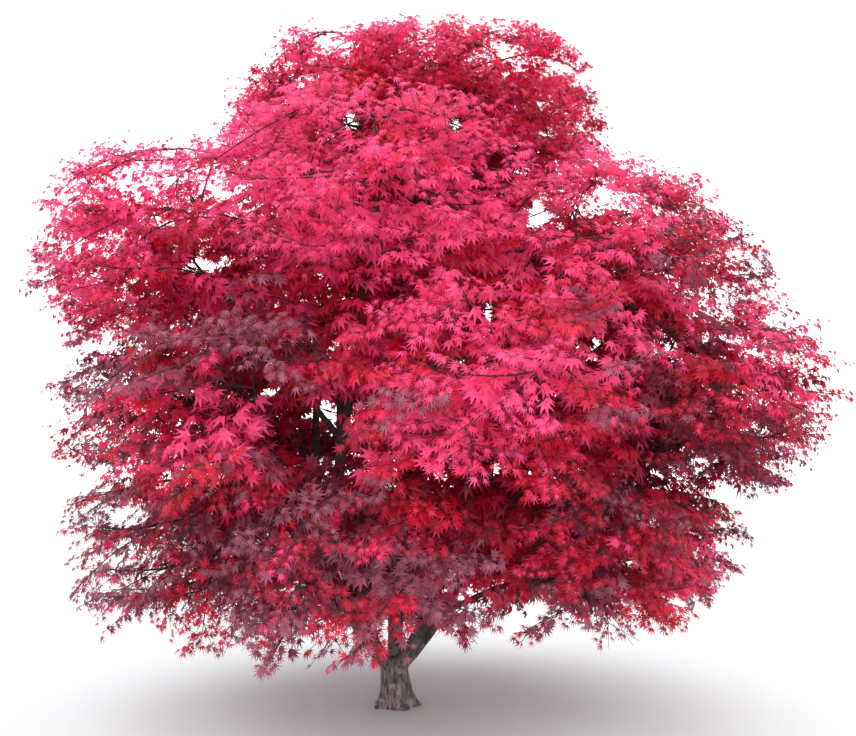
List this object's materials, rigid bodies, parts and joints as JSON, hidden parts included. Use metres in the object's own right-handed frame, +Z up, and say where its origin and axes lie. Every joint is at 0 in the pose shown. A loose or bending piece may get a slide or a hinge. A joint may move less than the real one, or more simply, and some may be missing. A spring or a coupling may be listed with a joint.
{
  "type": "japanese maple tree",
  "caption": "Broad multi-stemmed Japanese maple in red autumn leaf, rooted in the ground: a short flared trunk, splayed limbs and layered leaf pads.",
  "frame": {"origin": "middle of the flat cut under the trunk, at ground level", "axes": "+Z up along the trunk, -Y towards the side seen in the picture, +X to that side's right"},
  "size_m": [5.4652, 5.1833, 4.6326],
  "materials": {
    "bark": "matte",
    "foliage": "satin"
  },
  "bodies": {
    "root": {"bough_lower_1": "bark", "bough_lower_2": "bark", "bough_lower_3": "bark", "bough_lower_4": "bark", "bough_lower_5": "bark", "bough_lower_6": "bark", "bough_lower_7": "bark", "bough_lower_8": "bark", "bough_shoulder_1": "bark", "bough_shoulder_2": "bark", "bough_shoulder_3": "bark", "bough_shoulder_4": "bark", "bough_shoulder_5": "bark", "bough_shoulder_6": "bark", "bough_shoulder_7": "bark", "bough_shoulder_8": "bark", "bough_skirt_1": "bark", "bough_skirt_2": "bark", "bough_skirt_3": "bark", "bough_skirt_4": "bark", "bough_skirt_5": "bark", "bough_skirt_6": "bark", "bough_skirt_7": "bark", "leaves_lower_1": "foliage", "leaves_lower_2": "foliage", "leaves_lower_3": "foliage", "leaves_lower_4": "foliage", "leaves_lower_5": "foliage", "leaves_lower_6": "foliage", "leaves_lower_7": "foliage", "leaves_lower_8": "foliage", "leaves_shoulder_1": "foliage", "leaves_shoulder_2": "foliage", "leaves_shoulder_3": "foliage", "leaves_shoulder_4": "foliage", "leaves_shoulder_5": "foliage", "leaves_shoulder_6": "foliage", "leaves_shoulder_7": "foliage", "leaves_shoulder_8": "foliage", "leaves_skirt_1": "foliage", "leaves_skirt_2": "foliage", "leaves_skirt_3": "foliage", "leaves_skirt_4": "foliage", "leaves_skirt_5": "foliage", "leaves_skirt_6": "foliage", "leaves_skirt_7": "foliage", "leaves_top_1": "foliage", "leaves_upper_1": "foliage", "leaves_upper_2": "foliage", "leaves_upper_3": "foliage", "leaves_upper_4": "foliage", "leaves_upper_5": "foliage", "stem_top_1": "bark", "stem_upper_1": "bark", "stem_upper_2": "bark", "stem_upper_3": "bark", "stem_upper_4": "bark", "stem_upper_5": "bark", "trunk": "bark"}
  },
  "joints": []
}
